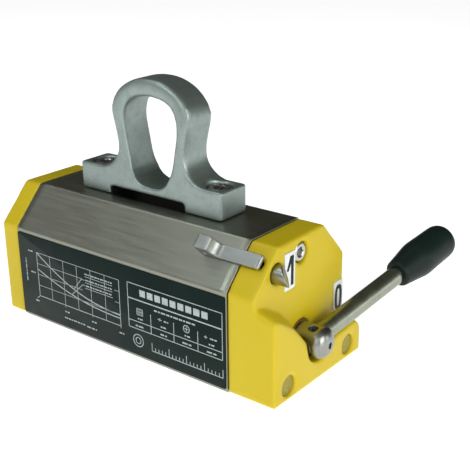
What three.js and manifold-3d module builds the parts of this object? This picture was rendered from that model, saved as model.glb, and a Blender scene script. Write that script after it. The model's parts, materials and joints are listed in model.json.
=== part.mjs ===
// Permanent-magnet lifting device: a switchable rotor magnet in a folded steel
// housing, with a cast shackle on top and a turning lever at one end.
// Millimetres, +Z up, +X towards the lever end. The origin is the centre of the
// lifting face, so the two pole shoes and their divider stand on z = 0.
import * as THREE from 'three';
import { mergeVertices } from 'three/addons/utils/BufferGeometryUtils.js';
import Module from 'manifold-3d';

const wasm = await Module();
wasm.setup();

// ---------------------------------------------------------------- dimensions
const HL = 95;            // half length of the sheet-covered body
const HW = 50;            // half width of the body
const H = 95;             // height of the body
const HC = 68.5;          // height at which the shoulders start
const TOP = 25;           // half width of the flat top
const SKIN = 1.5;         // housing sheet
const GAP = 0.3;          // clearance between neighbouring pieces

const CAP_R = 20.5;       // thickness of the lever end cap, upper part
const CAP_R2 = 35.5;      // thickness of the lever end cap, saddle part
const CAP_L = 17;         // thickness of the plain end cap
const CAP_Z = 1;          // end caps stand clear of the lifting face
const CAP_IN = 0.5;       // end caps are this much smaller all round than the folded sheet

const AX_Z = 26.2;        // rotor axis height
const BORE = 21;          // radius of the rotor bore in the pole shoes
const ROTOR = 20.3;       // rotor radius
const SHAFT = 8;          // shaft radius
const HUB = 10.5;         // lever hub radius
const HUB_X0 = HL + CAP_R + 0.9;   // hub shoulder
const HUB_X1 = 131.2;     // start of the hub's domed nose
const HUB_X2 = 138.2;     // tip of the nose

const ARM_X = 124.4;      // where the lever arm crosses the rotor axis
const ARM_RISE = 13.4;    // arm angle above the horizontal in the released position, degrees
const ARM_LEAN = 9.0;     // arm angle away from the body, degrees
const ARM_R = 6.35;       // arm radius
const ARM_S0 = -8.6;      // inner end of the arm, measured from the axis
const ARM_S1 = 122;       // outer end of the arm, inside the grip
const GRIP_S0 = 86.3;     // start of the grip
const GRIP_S1 = 142;    // end of the grip
const GRIP_R = 12.95;      // largest grip radius

const BOLT_Y = -26.25;     // latch bolt axis
const BOLT_Z = 77.95;
const BOLT_R = 6.1;
const BOLT_TIP = 126;   // furthest point of the latch nose
const BOLT_TRAVEL = 9;    // how far the bolt draws back
const NOSE_X = 121.5;     // where the nose's ramp crosses the bolt axis
const NOSE = 0.8;         // steepness of the ramp
const NOSE_TURN = 35;     // direction the ramp faces about X, degrees above +Y
const DOWEL_X = 106.6;    // dowel between the thumb slide and the bolt

const SH_X = -0.8;        // shackle base centre
const EYE_X = 1.8;        // shackle eye centre
const SH_SCREW = 51.6;    // shackle screws from the base centre
const SH_Z0 = 95.3;       // underside of the shackle base
const SH_Z1 = 114.4;      // top of the shackle base
const SH_T = 13.5;          // half thickness of the shackle base
const SH_L = 63.3;        // half length of the shackle base

// ---------------------------------------------------------------- helpers
const group = new THREE.Group();
const D2R = Math.PI / 180;

function solid(geometry) {
  const g = geometry.clone();
  g.deleteAttribute('normal');
  if (g.attributes.uv) g.deleteAttribute('uv');
  const m = mergeVertices(g, 1e-4);
  return new wasm.Manifold(new wasm.Mesh({
    numProp: 3,
    vertProperties: new Float32Array(m.attributes.position.array),
    triVerts: new Uint32Array(m.index.array),
  }));
}

function geometryOf(manifold) {
  const mesh = manifold.getMesh();
  const g = new THREE.BufferGeometry();
  g.setAttribute('position', new THREE.BufferAttribute(new Float32Array(mesh.vertProperties), 3));
  g.setIndex(new THREE.BufferAttribute(new Uint32Array(mesh.triVerts), 1));
  g.computeVertexNormals();
  return g;
}

function add(name, shape, color, roughness, metalness, parent = group) {
  const geometry = shape instanceof THREE.BufferGeometry ? shape : geometryOf(shape);
  const mesh = new THREE.Mesh(geometry, new THREE.MeshStandardMaterial({ color, roughness, metalness }));
  mesh.name = name;
  parent.add(mesh);
  return mesh;
}

function boxG(x0, x1, y0, y1, z0, z1) {
  return new THREE.BoxGeometry(x1 - x0, y1 - y0, z1 - z0)
    .translate((x0 + x1) / 2, (y0 + y1) / 2, (z0 + z1) / 2);
}
const box = (...a) => solid(boxG(...a));

// cylinder along X, Y or Z, or along any direction
function cylX(r, x0, x1, y, z, seg = 40, r2 = r) {
  return solid(new THREE.CylinderGeometry(r2, r, x1 - x0, seg).rotateZ(-Math.PI / 2)
    .translate((x0 + x1) / 2, y, z));
}
function cylZ(r, z0, z1, x, y, seg = 40, r2 = r) {
  return solid(new THREE.CylinderGeometry(r2, r, z1 - z0, seg).rotateX(Math.PI / 2)
    .translate(x, y, (z0 + z1) / 2));
}
function alongG(geometryY, origin, dir) {
  // geometry built about +Y from 0, placed at origin with +Y turned to dir
  const q = new THREE.Quaternion().setFromUnitVectors(new THREE.Vector3(0, 1, 0), dir.clone().normalize());
  return geometryY.applyQuaternion(q).translate(origin.x, origin.y, origin.z);
}
function cylD(r, s0, s1, origin, dir, seg = 40) {
  return solid(alongG(new THREE.CylinderGeometry(r, r, s1 - s0, seg).translate(0, (s0 + s1) / 2, 0), origin, dir));
}

function shapeOf(points, holes = []) {
  const s = new THREE.Shape(points.map((p) => new THREE.Vector2(p[0], p[1])));
  for (const h of holes) s.holes.push(new THREE.Path(h.map((p) => new THREE.Vector2(p[0], p[1]))));
  return s;
}
// outline in (y, z) carried along X
function extX(points, x0, x1, holes = []) {
  const g = new THREE.ExtrudeGeometry(shapeOf(points, holes), { depth: x1 - x0, bevelEnabled: false, curveSegments: 24 });
  const m = new THREE.Matrix4().set(0, 0, 1, x0, 1, 0, 0, 0, 0, 1, 0, 0, 0, 0, 0, 1);
  return solid(g.applyMatrix4(m));
}
// outline in (x, z) carried along Y
function extY(points, y0, y1, holes = []) {
  const g = new THREE.ExtrudeGeometry(shapeOf(points, holes), { depth: y1 - y0, bevelEnabled: false, curveSegments: 24 });
  const m = new THREE.Matrix4().set(1, 0, 0, 0, 0, 0, -1, y1, 0, 1, 0, 0, 0, 0, 0, 1);
  return solid(g.applyMatrix4(m));
}
// turned profile [[along, radius], ...] about an axis
function lathe(profile, origin, dir, seg = 48) {
  const g = new THREE.LatheGeometry(profile.map((p) => new THREE.Vector2(p[1], p[0])), seg);
  return solid(alongG(g, origin, dir));
}
function arc(cx, cy, r, a0, a1, n) {
  const out = [];
  for (let i = 0; i <= n; i++) {
    const a = (a0 + (a1 - a0) * i / n) * D2R;
    out.push([cx + r * Math.cos(a), cy + r * Math.sin(a)]);
  }
  return out;
}
// closed solid between two outlines of the same point count, in planes x = xa and x = xb
function loftX(a, xa, b, xb) {
  const n = a.length;
  const pos = [];
  for (const p of a) pos.push(xa, p[0], p[1]);
  for (const p of b) pos.push(xb, p[0], p[1]);
  const idx = [];
  const fa = THREE.ShapeUtils.triangulateShape(a.map((p) => new THREE.Vector2(p[0], p[1])), []);
  const fb = THREE.ShapeUtils.triangulateShape(b.map((p) => new THREE.Vector2(p[0], p[1])), []);
  for (const f of fa) idx.push(f[0], f[2], f[1]);
  for (const f of fb) idx.push(n + f[0], n + f[1], n + f[2]);
  for (let i = 0; i < n; i++) {
    const j = (i + 1) % n;
    idx.push(i, j, n + j, i, n + j, n + i);
  }
  const g = new THREE.BufferGeometry();
  g.setAttribute('position', new THREE.BufferAttribute(new Float32Array(pos), 3));
  g.setIndex(idx);
  return solid(g.toNonIndexed());
}

const X = new THREE.Vector3(1, 0, 0);
const AXIS0 = new THREE.Vector3(0, 0, AX_Z);

// frame of the front shoulder: U runs up the slope, N points out of it
const SLOPE = new THREE.Vector3(0, HW - TOP, H - HC).normalize();
const OUT = new THREE.Vector3(0, -(H - HC), HW - TOP).normalize();
const SHOULDER = new THREE.Vector3(0, -HW, HC);
const slopePoint = (x, u, n) => new THREE.Vector3(x, 0, 0).add(SHOULDER)
  .addScaledVector(SLOPE, u).addScaledVector(OUT, n);

// body section, inset by t from the outer surface
function bodySection(t, z0) {
  const k = (H - HC) / (HW - TOP);
  const c = t * Math.sqrt(1 + k * k);
  // shoulder line shifted inwards: z = HC + k (|y| side distance) - c
  const zs = HC + k * t - c;                  // at y = HW - t
  const ys = TOP + (-t + c) / k;              // at z = H - t, measured from the centre
  const yTop = TOP - (c - t) / k;
  return [[-(HW - t), z0], [HW - t, z0], [HW - t, zs], [yTop, H - t], [-yTop, H - t], [-(HW - t), zs]];
}

// ---------------------------------------------------------------- magnet system
const steel = 0x8d9090;
const poleIn = 12.3;
const poleTop = 75.8;
const zBore = (y) => Math.sqrt(BORE * BORE - y * y);
{
  const inner = bodySection(SKIN + GAP, 0);
  const zs = inner[2][1];
  const k = (H - HC) / (HW - TOP);
  const yAt = (z) => (HW - SKIN - GAP) - (z - zs) / k;
  const a0 = Math.atan2(zBore(8.3), 8.3) / D2R;
  const a1 = Math.atan2(zBore(poleIn), poleIn) / D2R;
  const outline = [
    [8.3, 0], [HW - SKIN - GAP, 0], [HW - SKIN - GAP, zs], [yAt(poleTop), poleTop], [poleIn, poleTop],
    ...arc(0, AX_Z, BORE, a1, -a0, 20),
  ];
  const rear = () => extX(outline, -HL + GAP, HL - GAP);
  const mirror = (pts) => pts.map((p) => [-p[0], p[1]]).reverse();
  const front = () => extX(mirror(outline), -HL + GAP, HL - GAP);
  const screwHoles = (m, y) => m
    .subtract(cylX(4.3, 70, HL + 1, y, 10.5, 20))
    .subtract(cylX(4.3, -HL - 1, -70, y, 10.5, 20));
  let pf = screwHoles(front(), -34);
  pf = pf.subtract(cylX(BOLT_R + 0.6, 44, HL + 1, BOLT_Y, BOLT_Z, 32));
  add('pole_shoe_front', pf, steel, 0.45, 0.9);
  add('pole_shoe_rear', screwHoles(rear(), 34), steel, 0.45, 0.9);
  add('bottom_divider', boxG(-HL + GAP, HL - GAP, -8, 8, 0, 4.8), 0xb08d3c, 0.35, 0.9);

  add('stator_magnet_left', boxG(-HL + 1, -0.5, -12, 12, 47.8, 75.4), 0x3a3c3f, 0.6, 0.5);
  add('stator_magnet_right', boxG(0.5, HL - 1, -12, 12, 47.8, 75.4), 0x3a3c3f, 0.6, 0.5);

  // load plate that carries the shackle screws
  const yTop = inner[3][0];
  const zt = H - SKIN - GAP;
  let plate = extX([[-yAt(76.1), 76.1], [yAt(76.1), 76.1], [yTop, zt], [-yTop, zt]], -HL + GAP, HL - GAP);
  plate = plate
    .subtract(cylX(BOLT_R + 0.6, 44, HL + 1, BOLT_Y, BOLT_Z, 32))
    .subtract(cylX(4.3, 70, HL + 1, 0, 83.2, 20))
    .subtract(cylX(4.3, -HL - 1, -70, 0, 83.2, 20));
  for (const s of [-1, 1]) plate = plate.subtract(cylZ(5.3, 78.5, 95, SH_X + s * SH_SCREW, 0, 24));
  add('load_plate', plate, 0x85888a, 0.5, 0.9);
}

// ---------------------------------------------------------------- folded cover and its plate
{
  const outer = bodySection(0, 1.6);
  const inner = bodySection(SKIN, 1.6);
  // one folded strip, open at the bottom
  const strip = [outer[1], outer[2], outer[3], outer[4], outer[5], outer[0],
    inner[0], inner[5], inner[4], inner[3], inner[2], inner[1]];
  let cover = extX(strip, -HL + 0.15, HL - 0.15);
  for (const s of [-1, 1]) cover = cover.subtract(cylZ(5.8, 90, 97, SH_X + s * SH_SCREW, 0, 24));
  add('housing_cover', cover, 0x8f8f84, 0.35, 0.85);
  add('rating_plate', boxG(-HL + 0.6, HL - 0.6, -HW - 0.75, -HW - 0.05, 3.2, 65.6), 0x1c1f20, 0.45, 0.1);
}

// ---------------------------------------------------------------- end caps
const yellow = 0xd4b52c;
const capScrews = [[0, 83.2], [-34, 10.5], [34, 10.5]];
{
  // plain end
  let cap = extX(bodySection(CAP_IN, CAP_Z), -HL - CAP_L, -HL);
  cap = cap.subtract(cylX(11.5, -HL - 11, -HL + 1, 0, AX_Z, 40));
  for (const [y, z] of capScrews) {
    cap = cap.subtract(cylX(4.4, -HL - 20, -HL + 1, y, z, 20))
      .subtract(cylX(7.1, -HL - 20, -HL - 7.5, y, z, 32));
  }
  add('plain_end_cap', cap, yellow, 0.4, 0.1);

  // lever end: flat upper part with a saddle below it
  let capR = extX(bodySection(CAP_IN, CAP_Z), HL, HL + CAP_R);
  const cw = HW - CAP_IN;
  const r = 13;
  const aRear = Math.atan2(21.9 - AX_Z, 12.27) / D2R;       // saddle meets the hub hollow, rear
  const hollow = arc(0, AX_Z, r, aRear, -174, 14);         // under the hub
  const faceOuter = [
    [-cw, CAP_Z], [cw, CAP_Z], [cw, 15.5], ...arc(cw - 9, 15.5, 9, 15, 90, 5),
    [16.5, 22.5], ...hollow,
    [-14.5, 31], [-20.2, 37.2], [-28, 45.3], [-36, 51.4], [-45.5, 57.6], [-48.2, 57.4], [-cw, 54.5],
  ];
  const faceInner = [
    [-cw, CAP_Z], [cw, CAP_Z], [cw, 17.5], ...arc(cw - 9, 17.5, 9, 15, 90, 5),
    [16.5, 23.2], ...hollow,
    [-12.6, 36.5], [-15.4, 43.3], [-23.2, 50.9], [-37, 59.3], [-45.6, 62.2], [-48.2, 62], [-cw, 59.6],
  ];
  capR = capR.add(loftX(faceInner, HL + CAP_R - 0.5, faceOuter, HL + CAP_R2));
  capR = capR.subtract(cylX(11.5, HL - 1, HL + CAP_R + 1, 0, AX_Z, 40));
  capR = capR.subtract(cylX(4.4, HL - 1, 140, 0, 83.2, 20)).subtract(cylX(7.15, 105.8, 140, 0, 83.2, 36));
  for (const y of [-34, 34]) {
    capR = capR.subtract(cylX(4.4, HL - 1, 140, y, 10.5, 20)).subtract(cylX(6.8, 103, 140, y, 10.5, 36));
  }
  // latch bolt bore, and the slot in the shoulder for its dowel
  capR = capR.subtract(cylX(BOLT_R + 0.35, HL - 1, 120, BOLT_Y, BOLT_Z, 40));
  const slot = new THREE.BoxGeometry(15.8, 5.8, 9);
  const q = new THREE.Matrix4().makeBasis(X, SLOPE, new THREE.Vector3().crossVectors(X, SLOPE));
  slot.applyMatrix4(q);
  const sc = slopePoint(HL - 1 + 7.9, 23.2, -1.5);
  slot.translate(sc.x, sc.y, sc.z);
  capR = capR.subtract(solid(slot));
  add('lever_end_cap', capR, yellow, 0.4, 0.1);
}

// cap screws: socket heads in counterbores
function socketScrewX(name, y, z, headIn, dir, shankEnd, color = 0x9a9c9e) {
  // headIn is the x of the underside of the head; dir is +1 when the head faces +X
  const h = 8;
  const hr = 6.3;
  const x0 = dir > 0 ? headIn : headIn - h;
  let m = cylX(hr, x0, x0 + h, y, z, 28);
  m = m.add(dir > 0 ? cylX(4, shankEnd, headIn + 0.1, y, z, 20) : cylX(4, headIn - 0.1, shankEnd, y, z, 20));
  const face = dir > 0 ? headIn + h : headIn - h;
  const hex = new THREE.CylinderGeometry(3.46, 3.46, 9, 6).rotateZ(Math.PI / 2).translate(face, y, z);
  m = m.subtract(solid(hex));
  add(name, m, color, 0.3, 0.9);
}
socketScrewX('lever_cap_screw_top', 0, 83.2, 105.95, 1, 72);
socketScrewX('lever_cap_screw_front', -34, 10.5, 103.15, 1, 72);
socketScrewX('lever_cap_screw_rear', 34, 10.5, 103.15, 1, 72);
socketScrewX('plain_cap_screw_top', 0, 83.2, -HL - 7.8, -1, -72);
socketScrewX('plain_cap_screw_front', -34, 10.5, -HL - 7.8, -1, -72);
socketScrewX('plain_cap_screw_rear', 34, 10.5, -HL - 7.8, -1, -72);
for (const [name, y] of [['hole_plug_front', -34], ['hole_plug_rear', 34]]) {
  add(name, cylX(6.55, 125.4, 128.6, y, 10.5, 36), 0x8f8a2a, 0.55, 0.05);
}

// ---------------------------------------------------------------- bushes and washer
add('lever_end_bush', cylX(11.2, HL + 0.3, HL + CAP_R - 0.1, 0, AX_Z, 40)
  .subtract(cylX(SHAFT + 0.2, HL - 1, HL + CAP_R + 1, 0, AX_Z, 40)), 0xa07c3a, 0.4, 0.9);
add('plain_end_bush', cylX(11.2, -HL - 10.8, -HL - 0.3, 0, AX_Z, 40)
  .subtract(cylX(SHAFT + 0.2, -HL - 12, -HL + 1, 0, AX_Z, 40)), 0xa07c3a, 0.4, 0.9);
add('hub_washer', cylX(9.6, HL + CAP_R + 0.1, HUB_X0 - 0.2, 0, AX_Z, 40)
  .subtract(cylX(SHAFT + 0.4, HL + CAP_R - 1, HUB_X0 + 1, 0, AX_Z, 40)), 0x6d6f70, 0.45, 0.8);

// ---------------------------------------------------------------- rotor
{
  const half = (sign) => {
    const m = cylX(ROTOR, -88, 88, 0, AX_Z, 56);
    return sign > 0 ? m.intersect(box(-90, 90, 6.2, 40, -20, 80)) : m.intersect(box(-90, 90, -40, -6.2, -20, 80));
  };
  add('rotor_pole_rear', half(1), 0x7f8283, 0.45, 0.9);
  add('rotor_pole_front', half(-1), 0x7f8283, 0.45, 0.9);
  add('rotor_magnet', boxG(-88, 88, -6, 6, AX_Z - 19, AX_Z + 19), 0x3a3c3f, 0.55, 0.5);
  add('rotor_end_plain', lathe([[-104.8, 0], [-104.8, SHAFT], [-92, SHAFT], [-92, 19.8], [-88.3, 19.8], [-88.3, 0]]
    , AXIS0, X, 48), 0x8d9090, 0.4, 0.9);
  let drive = cylX(19.8, 88.3, 92, 0, AX_Z, 48).add(cylX(SHAFT, 91.9, 99.6, 0, AX_Z, 40));
  drive = drive.subtract(box(94.5, 101, -3.3, 3.3, AX_Z - 20, AX_Z + 20));
  add('rotor_end_drive', drive, 0x8d9090, 0.4, 0.9);
}

// ---------------------------------------------------------------- lever
const armDir = new THREE.Vector3(
  Math.sin(ARM_LEAN * D2R),
  Math.cos(ARM_LEAN * D2R) * Math.cos(ARM_RISE * D2R),
  Math.cos(ARM_LEAN * D2R) * Math.sin(ARM_RISE * D2R),
);
const armO = new THREE.Vector3(ARM_X, 0, AX_Z);
const lever = new THREE.Group();
group.add(lever);
{
  const dome = [];
  for (let i = 1; i <= 8; i++) {
    const a = i / 8 * Math.PI / 2;
    dome.push([HUB_X1 + (HUB_X2 - HUB_X1) * Math.sin(a), HUB * Math.cos(a)]);
  }
  dome[dome.length - 1][1] = 0;
  let hub = lathe([
    [99.9, 0], [99.9, SHAFT], [HUB_X0, SHAFT], [HUB_X0, HUB - 0.5], [HUB_X0 + 0.5, HUB],
    [HUB_X1, HUB], ...dome,
  ], AXIS0, X, 48);
  hub = hub.add(box(95, 100.2, -3, 3, AX_Z - 7.2, AX_Z + 7.2));   // tongue in the rotor slot
  hub = hub.subtract(cylD(ARM_R + 0.3, -30, 30, armO, armDir, 40)); // arm hole
  hub = hub.subtract(cylX(2, 134.2, 145, 0, AX_Z, 20));             // centre hole in the nose
  hub = hub.subtract(cylD(2.9, 0, 30, grubOrigin(), grubDir(), 24));
  add('lever_hub', hub, 0x9c9b90, 0.3, 0.95, lever);

  const grub = cylD(2.6, ARM_R + 0.25, 8.7, grubOrigin(), grubDir(), 20)
    .subtract(solid(alongG(new THREE.CylinderGeometry(1.5, 1.5, 3, 6).translate(0, 8.7, 0), grubOrigin(), grubDir())));
  add('grub_screw', grub, 0x2c2c2c, 0.5, 0.8, lever);

  const arm = lathe([
    [ARM_S0, 0], [ARM_S0, ARM_R - 0.6], [ARM_S0 + 0.6, ARM_R], [GRIP_S0 - 2.7, ARM_R], [GRIP_S0 - 1.7, ARM_R - 0.9],
    [GRIP_S0 - 1.5, 5.2], [ARM_S1 - 0.8, 5.2], [ARM_S1, 4.4], [ARM_S1, 0],
  ], armO, armDir, 36);
  add('lever_arm', arm, 0x94938a, 0.35, 0.9, lever);

  const L = GRIP_S1 - GRIP_S0;
  const prof = [
    [0, 5.5], [0, 8.4], [0.5, 9.1], [1.4, 9.5], [4.9, 10.1], [8.6, 10.7], [12.3, 11.36], [15.9, 12], [18.7, 12.55],
    [21.4, 12.9], [24.2, GRIP_R], [31.5, 12.73], [40.7, 12.5], [47.1, 12.4], [49.4, 12.15], [51.5, 11.5],
    [53.4, 10.35], [54.6, 8.8], [55.3, 6.2], [55.6, 3.2], [L, 0],
  ].map(([s, r]) => [GRIP_S0 + s, r]);
  const inner = [[ARM_S1 + 0.5, 0], [ARM_S1 + 0.5, 5.5]];
  // closed profile: outside from the mouth to the end, back along the bore
  let grip = lathe([[GRIP_S0, 0], ...prof.slice(1)], armO, armDir, 40);
  grip = grip.subtract(cylD(5.5, GRIP_S0 - 5, inner[0][0], armO, armDir, 32));
  add('lever_grip', grip, 0x1b2021, 0.4, 0.05, lever);
}
function grubOrigin() { return new THREE.Vector3(ARM_X, 0, AX_Z); }
function grubDir() {
  // straight down on the arm through the hub wall, square to the arm
  const up = new THREE.Vector3(0.23, -0.24, 0.94).normalize();
  const v = up.clone().addScaledVector(armDir, -up.dot(armDir));
  return v.normalize();
}

// ---------------------------------------------------------------- latch
{
  let bolt = cylX(BOLT_R, 72, BOLT_TIP, BOLT_Y, BOLT_Z, 40);
  bolt = bolt.add(cylX(3, 57, 72.5, BOLT_Y, BOLT_Z, 24));
  // wedge nose: the ramp faces outwards, rearwards and up, so its front lower side is the longest
  const ramp = new THREE.Vector3(1, NOSE * Math.cos(NOSE_TURN * D2R), NOSE * Math.sin(NOSE_TURN * D2R)).normalize();
  const cut = new THREE.BoxGeometry(20, 40, 40).translate(10, 0, 0)
    .applyQuaternion(new THREE.Quaternion().setFromUnitVectors(X, ramp))
    .translate(NOSE_X, BOLT_Y, BOLT_Z);
  bolt = bolt.subtract(solid(cut));
  bolt = bolt.subtract(cylD(2.7, -11.2, -1, slopePoint(DOWEL_X, 23.2, 0), OUT, 20));
  add('latch_bolt', bolt, 0x9b9a92, 0.3, 0.95);

  // thumb slide: flat bar on the shoulder, rising to a square thumb block
  const rise = [];
  for (let i = 0; i <= 10; i++) {
    const t = i / 10;
    // concave sweep from the bar's top up to the block
    rise.push([82.4 - 5.6 * Math.sin(t * Math.PI / 2) - 0.2 * t, 4.4 + 8.2 * (1 - Math.cos(t * Math.PI / 2))]);
  }
  const slideProfile = [
    [66, 0.5], [109.4, 0.5], [110.6, 1.6], [110.6, 3.4], [109.6, 4.4], ...rise,
    [76, 13], [67, 13], [66, 12.2],
  ];
  const g = new THREE.ExtrudeGeometry(shapeOf(slideProfile), { depth: 9, bevelEnabled: false });
  // shape x -> X, shape y -> OUT, extrusion -> X cross OUT
  const m = new THREE.Matrix4().makeBasis(X, OUT, new THREE.Vector3().crossVectors(X, OUT));
  g.applyMatrix4(m);
  const w = new THREE.Vector3().crossVectors(X, OUT);
  const o = slopePoint(0, 23.2, 0).addScaledVector(w, -4.5);
  g.translate(o.x, o.y, o.z);
  let slide = solid(g);
  slide = slide.subtract(cylD(2.7, -1, 3.2, slopePoint(DOWEL_X, 23.2, 0), OUT, 20));
  slide = slide.subtract(cylD(1.2, -10, 10, slopePoint(70.5, 23.2, 4), SLOPE, 16));
  add('thumb_slide', slide, 0x9d9e98, 0.3, 0.9);
  add('latch_dowel', cylD(2.4, -8.9, 2.9, slopePoint(DOWEL_X, 23.2, 0), OUT, 20), 0x8d8f90, 0.3, 0.95);

  // return spring behind the bolt shoulder
  const pts = [];
  const turns = 6;
  for (let i = 0; i <= turns * 10; i++) {
    const a = i / 10 * 2 * Math.PI;
    pts.push(new THREE.Vector3(46 + 25 * i / (turns * 10), BOLT_Y + 4.55 * Math.cos(a), BOLT_Z + 4.55 * Math.sin(a)));
  }
  const path = new THREE.CatmullRomCurve3(pts);
  const wire = new THREE.Shape(arc(0, 0, 0.65, 0, 300, 5).map((p) => new THREE.Vector2(p[0], p[1])));
  add('latch_spring', solid(new THREE.ExtrudeGeometry(wire, { steps: turns * 10, bevelEnabled: false, extrudePath: path })), 0x7c7f80, 0.4, 0.9);
}

// ---------------------------------------------------------------- position plates
add('position_plate_on', boxG(HL + CAP_R + 0.05, HL + CAP_R + 0.65, -19.6, -8.6, 63.8, 88.2), 0xe8ecea, 0.5, 0);
add('position_plate_off', boxG(HL + CAP_R + 0.05, HL + CAP_R + 0.65, 37.6, 48.2, 26.8, 49.6), 0xe8ecea, 0.5, 0);

// ---------------------------------------------------------------- shackle
{
  const half = [
    [44.5, 0], [40, 1.4], [35.6, 4.2], [31.8, 8.6], [29.6, 13.2], [29.3, 18], [30.3, 24], [32, 31], [33.8, 37.5],
    [34.4, 43.5], [32.6, 49.2], [28.4, 54.6], [23.2, 58.8], [17, 62], [10.6, 64.1], [5, 64.8],
  ];
  const eye = [
    [SH_L, SH_Z0], [SH_L, SH_Z1],
    ...half.map(([x, z]) => [EYE_X + x, SH_Z1 + z]), [EYE_X, SH_Z1 + 65],
    ...half.slice().reverse().map(([x, z]) => [EYE_X - x, SH_Z1 + z]),
    [-SH_L, SH_Z1], [-SH_L, SH_Z0],
  ];
  // base ends about SH_X
  eye[0][0] += SH_X; eye[1][0] += SH_X;
  eye[eye.length - 1][0] += SH_X; eye[eye.length - 2][0] += SH_X;
  const holeHalf = [
    [6.6, 106.8], [11.2, 108.6], [14.5, 111.8], [16.9, 116.4], [18.7, 123.4], [20.4, 132], [22.2, 141], [23.2, 147.6],
    [23.2, 153], [21.2, 158.8], [17, 163.4], [10.2, 166.4],
  ];
  const hole = [[0, 106.2], ...holeHalf, [0, 167.4], ...holeHalf.slice().reverse().map(([x, z]) => [-x, z])]
    .map(([x, z]) => [EYE_X + x, z]);
  let sh = extY(eye, -SH_T, SH_T, [hole]);
  // the eye thins a little towards its top
  sh = sh.intersect(extX([[-SH_T, 90], [SH_T, 90], [SH_T, 117], [13.1, 156], [12.3, 185], [-12.3, 185], [-13.1, 156], [-SH_T, 117]], -80, 80));
  // slot under the base
  const n0 = -35.5; const n1 = 31.5; const nz = 101.2;
  sh = sh.subtract(extY([[n0, 90], [n1, 90], [n1, nz - 2.5], ...arc(n1 - 2.5, nz - 2.5, 2.5, 0, 90, 4),
    ...arc(n0 + 2.5, nz - 2.5, 2.5, 90, 180, 4), [n0, nz - 2.5]], -20, 20));
  for (const s of [-1, 1]) {
    const x = SH_X + s * SH_SCREW;
    sh = sh.subtract(cylZ(5.4, 90, 120, x, 0, 24)).subtract(cylZ(9.1, 103.6, 120, x, 0, 40));
  }
  // rounded vertical corners of the base
  const rr = 1.8;
  const plan = [];
  for (const [cx, cy, a] of [[SH_L - rr, SH_T - rr, 0], [-SH_L + rr, SH_T - rr, 90], [-SH_L + rr, -SH_T + rr, 180], [SH_L - rr, -SH_T + rr, 270]]) {
    plan.push(...arc(SH_X + cx, cy, rr, a, a + 90, 4));
  }
  const g = new THREE.ExtrudeGeometry(shapeOf(plan), { depth: 100, bevelEnabled: false }).translate(0, 0, 90);
  sh = sh.intersect(solid(g));
  add('shackle', sh, 0x8a9494, 0.55, 0.75);

  for (const [name, s] of [['shackle_screw_plain', -1], ['shackle_screw_lever', 1]]) {
    const x = SH_X + s * SH_SCREW;
    let m = cylZ(8, 103.8, 113.2, x, 0, 32).add(cylZ(5, 80, 103.9, x, 0, 24));
    m = m.subtract(solid(new THREE.CylinderGeometry(4.62, 4.62, 12, 6).rotateX(Math.PI / 2).translate(x, 0, 113.2)));
    add(name, m, 0x55595a, 0.35, 0.9);
  }
}

export default group;
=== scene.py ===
import bpy
import json
import math
import numpy as np
from mathutils import Matrix, Vector


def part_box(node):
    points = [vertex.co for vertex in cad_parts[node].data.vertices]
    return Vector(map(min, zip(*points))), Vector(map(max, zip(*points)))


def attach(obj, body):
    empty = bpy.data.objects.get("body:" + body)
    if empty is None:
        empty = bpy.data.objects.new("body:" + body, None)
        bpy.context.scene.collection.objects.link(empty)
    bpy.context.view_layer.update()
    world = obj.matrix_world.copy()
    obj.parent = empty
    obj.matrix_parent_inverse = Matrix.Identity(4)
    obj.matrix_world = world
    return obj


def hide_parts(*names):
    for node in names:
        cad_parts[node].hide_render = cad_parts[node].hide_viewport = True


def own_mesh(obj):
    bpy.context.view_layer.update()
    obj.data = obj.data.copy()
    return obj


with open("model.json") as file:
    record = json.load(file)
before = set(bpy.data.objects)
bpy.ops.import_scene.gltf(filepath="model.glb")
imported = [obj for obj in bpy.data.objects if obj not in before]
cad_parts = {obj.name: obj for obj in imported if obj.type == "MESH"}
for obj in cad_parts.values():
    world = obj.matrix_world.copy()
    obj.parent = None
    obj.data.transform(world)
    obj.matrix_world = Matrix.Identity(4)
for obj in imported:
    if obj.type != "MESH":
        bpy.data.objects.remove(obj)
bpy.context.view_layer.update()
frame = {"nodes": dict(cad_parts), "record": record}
NODES = frame["nodes"]
REC = frame["record"]
SLOT = {s["node"]: s["material_slot"] for s in REC["subparts"]}
BODY = {n: b for b, ns in REC["behaviour"]["bodies"].items() for n in ns}
MM = 0.001
scene = bpy.context.scene


# ------------------------------------------------------------------ camera
def camera():
    az, el, roll = math.radians(38.06), math.radians(20.902), math.radians(-0.499)
    fwd = -Vector((math.sin(az) * math.cos(el), -math.cos(az) * math.cos(el), math.sin(el)))
    right = fwd.cross(Vector((0, 0, 1))).normalized()
    up = right.cross(fwd)
    r2 = math.cos(roll) * right + math.sin(roll) * up
    u2 = -math.sin(roll) * right + math.cos(roll) * up
    m = Matrix((
        (r2.x, u2.x, -fwd.x, 0.404576),
        (r2.y, u2.y, -fwd.y, -0.436344),
        (r2.z, u2.z, -fwd.z, 0.294598),
        (0, 0, 0, 1),
    ))
    cam = bpy.data.objects.new("camera", bpy.data.cameras.new("camera"))
    scene.collection.objects.link(cam)
    cam.matrix_world = m
    cam.data.sensor_width = 36
    cam.data.lens = 36 * 915.668 / 470
    cam.data.clip_start = 0.01
    cam.data.clip_end = 50
    scene.camera = cam


camera()


# ------------------------------------------------------------------ mesh helpers
def mesh_obj(name, verts, faces, sharp=None, smooth=True):
    me = bpy.data.meshes.new(name)
    me.from_pydata([tuple(v) for v in verts], [], [tuple(f) for f in faces])
    me.validate()
    me.update()
    if smooth:
        me.polygons.foreach_set("use_smooth", [True] * len(me.polygons))
        if sharp is not None:
            me.set_sharp_from_angle(angle=math.radians(sharp))
    o = bpy.data.objects.new(name, me)
    scene.collection.objects.link(o)
    return o


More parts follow.
